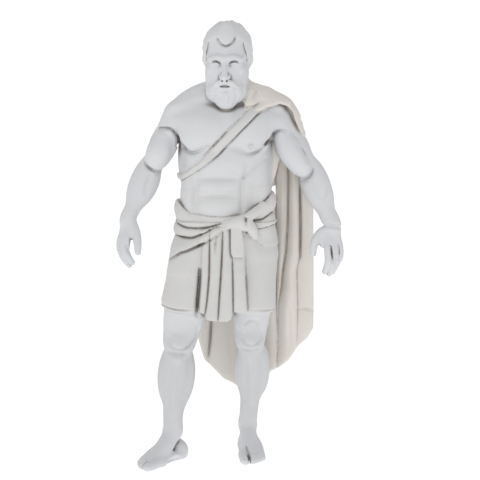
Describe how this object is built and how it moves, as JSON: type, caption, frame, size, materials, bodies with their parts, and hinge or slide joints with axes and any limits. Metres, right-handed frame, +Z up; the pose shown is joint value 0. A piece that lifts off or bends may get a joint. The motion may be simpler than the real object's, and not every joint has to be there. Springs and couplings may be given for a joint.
{
  "type": "ares statue",
  "caption": "Life-size carved stone statue of a standing bearded warrior with a cloak over the left shoulder, a chest strap, hip sash, loincloth and short breeches.",
  "frame": {"origin": "middle of the bounding box on the ground plane, between the two feet", "axes": "+Z up from the soles to the crown, -Y the way the figure faces, +X to the figure's left"},
  "size_m": [0.9432, 0.4032, 1.8548],
  "materials": {
    "stone": "matte white, finely rubbed"
  },
  "bodies": {
    "root": {"ares_statue": "stone"}
  },
  "joints": []
}
